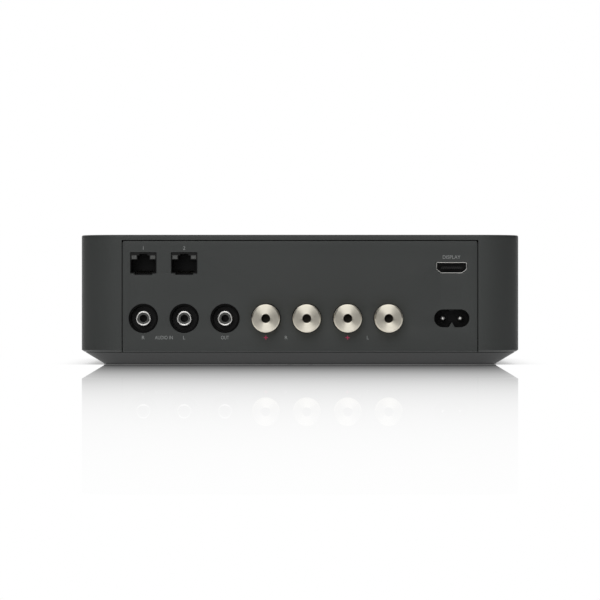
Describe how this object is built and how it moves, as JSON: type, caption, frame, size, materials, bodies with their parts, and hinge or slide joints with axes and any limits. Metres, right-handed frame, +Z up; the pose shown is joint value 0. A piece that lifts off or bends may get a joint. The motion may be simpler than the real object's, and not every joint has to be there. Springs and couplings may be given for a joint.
{
  "type": "streaming amplifier",
  "caption": "Low square streaming amplifier with rounded corners, recessed round deck, and a rear panel of audio, speaker, network, video and mains sockets.",
  "frame": {"origin": "middle of the rubber foot's underside, on the surface the case stands on", "axes": "+Z up, the front faces -Y, the sockets face +Y, +X to the right seen from the front"},
  "size_m": [0.217, 0.227, 0.064],
  "materials": {
    "cover_plastic": "fine moulded grain",
    "base_plastic": "fine moulded grain",
    "panel_plastic": "fine moulded grain",
    "deck_metal": "black anodised",
    "foot_rubber": "matt",
    "screw_steel": "zinc plated",
    "spacer_brass": "turned",
    "clear_plastic": "clear moulding",
    "board_laminate": "solder mask",
    "jack_plastic": "moulded",
    "dish_plastic": "moulded",
    "shield_tin": "tin plated sheet",
    "nickel": "nickel plated",
    "post_metal": "turned, pale nickel plating",
    "insulator_plastic": "moulded",
    "gold_contact": "gold plated",
    "capacitor_sleeve": "shrink sleeve",
    "ferrite": "sintered",
    "coil_tape": "polyester tape",
    "film_case": "epoxy filled box",
    "fuse_glass": "glass tube with caps",
    "heat_sink_metal": "extruded",
    "chip_plastic": "moulded package",
    "thermal_silicone": "soft pad",
    "ribbon_film": "flat film cable",
    "lead_jacket": "thin jacket",
    "aerial_copper": "copper on laminate"
  },
  "bodies": {
    "root": {"top_cover": "cover_plastic", "top_deck": "deck_metal", "base_pan": "base_plastic", "foot_disc": "foot_rubber", "rear_panel": "panel_plastic", "case_screws": "screw_steel", "deck_screws": "screw_steel", "board_screws": "screw_steel", "board_spacers": "spacer_brass", "light_pipe": "clear_plastic", "touch_board": "board_laminate", "touch_pads": "thermal_silicone", "status_led": "clear_plastic", "touch_cable": "ribbon_film", "network_jack_1": "jack_plastic", "network_jack_2": "jack_plastic", "network_shield_1": "shield_tin", "network_shield_2": "shield_tin", "network_contacts": "gold_contact", "network_lights": "clear_plastic", "video_jack_shell": "nickel", "video_jack_core": "jack_plastic", "video_jack_contacts": "gold_contact", "audio_jack_block": "dish_plastic", "audio_jack_shells": "nickel", "audio_jack_insulators": "insulator_plastic", "audio_jack_contacts": "nickel", "speaker_socket_block": "jack_plastic", "speaker_socket_sleeves": "nickel", "mains_inlet": "jack_plastic", "mains_pins": "nickel", "power_board": "board_laminate", "amplifier_board": "board_laminate", "network_board": "board_laminate", "bulk_capacitors": "capacitor_sleeve", "transformer_core": "ferrite", "transformer_coil": "coil_tape", "line_choke": "ferrite", "film_capacitors": "film_case", "fuse": "fuse_glass", "output_inductors": "ferrite", "amplifier_chips": "chip_plastic", "heat_sink": "heat_sink_metal", "thermal_pads": "thermal_silicone", "board_link": "jack_plastic", "radio_shield": "shield_tin", "antennas": "aerial_copper", "antenna_leads": "lead_jacket"},
    "plug_1": {"post_plug_1": "post_metal"},
    "clamp_1": {"post_clamp_1": "post_metal"},
    "cap_1": {"post_cap_1": "post_metal"},
    "plug_2": {"post_plug_2": "post_metal"},
    "clamp_2": {"post_clamp_2": "post_metal"},
    "cap_2": {"post_cap_2": "post_metal"},
    "plug_3": {"post_plug_3": "post_metal"},
    "clamp_3": {"post_clamp_3": "post_metal"},
    "cap_3": {"post_cap_3": "post_metal"},
    "plug_4": {"post_plug_4": "post_metal"},
    "clamp_4": {"post_clamp_4": "post_metal"},
    "cap_4": {"post_cap_4": "post_metal"}
  },
  "joints": [
    {"name": "post_1_pull", "type": "slide", "parent": "root", "child": "plug_1", "axis": [0, 1, 0], "range_m": [0, 0.032]},
    {"name": "post_1_clamp", "type": "slide", "parent": "plug_1", "child": "clamp_1", "axis": [0, 1, 0], "range_m": [0, 0.0024]},
    {"name": "post_1_screw", "type": "hinge", "parent": "clamp_1", "child": "cap_1", "pos_m": [0.0168, 0.1085, 0.02287], "axis": [0, 1, 0], "range_deg": [0, 1080]},
    {"name": "post_2_pull", "type": "slide", "parent": "root", "child": "plug_2", "axis": [0, 1, 0], "range_m": [0, 0.032]},
    {"name": "post_2_clamp", "type": "slide", "parent": "plug_2", "child": "clamp_2", "axis": [0, 1, 0], "range_m": [0, 0.0024]},
    {"name": "post_2_screw", "type": "hinge", "parent": "clamp_2", "child": "cap_2", "pos_m": [-0.0033, 0.1085, 0.02287], "axis": [0, 1, 0], "range_deg": [0, 1080]},
    {"name": "post_3_pull", "type": "slide", "parent": "root", "child": "plug_3", "axis": [0, 1, 0], "range_m": [0, 0.032]},
    {"name": "post_3_clamp", "type": "slide", "parent": "plug_3", "child": "clamp_3", "axis": [0, 1, 0], "range_m": [0, 0.0024]},
    {"name": "post_3_screw", "type": "hinge", "parent": "clamp_3", "child": "cap_3", "pos_m": [-0.0234, 0.1085, 0.02287], "axis": [0, 1, 0], "range_deg": [0, 1080]},
    {"name": "post_4_pull", "type": "slide", "parent": "root", "child": "plug_4", "axis": [0, 1, 0], "range_m": [0, 0.032]},
    {"name": "post_4_clamp", "type": "slide", "parent": "plug_4", "child": "clamp_4", "axis": [0, 1, 0], "range_m": [0, 0.0024]},
    {"name": "post_4_screw", "type": "hinge", "parent": "clamp_4", "child": "cap_4", "pos_m": [-0.0435, 0.1085, 0.02287], "axis": [0, 1, 0], "range_deg": [0, 1080]}
  ],
  "couplings": [
    {"joint": "post_1_screw", "follows": "post_1_clamp", "rad_per_m": 7854},
    {"joint": "post_2_screw", "follows": "post_2_clamp", "rad_per_m": 7854},
    {"joint": "post_3_screw", "follows": "post_3_clamp", "rad_per_m": 7854},
    {"joint": "post_4_screw", "follows": "post_4_clamp", "rad_per_m": 7854}
  ]
}
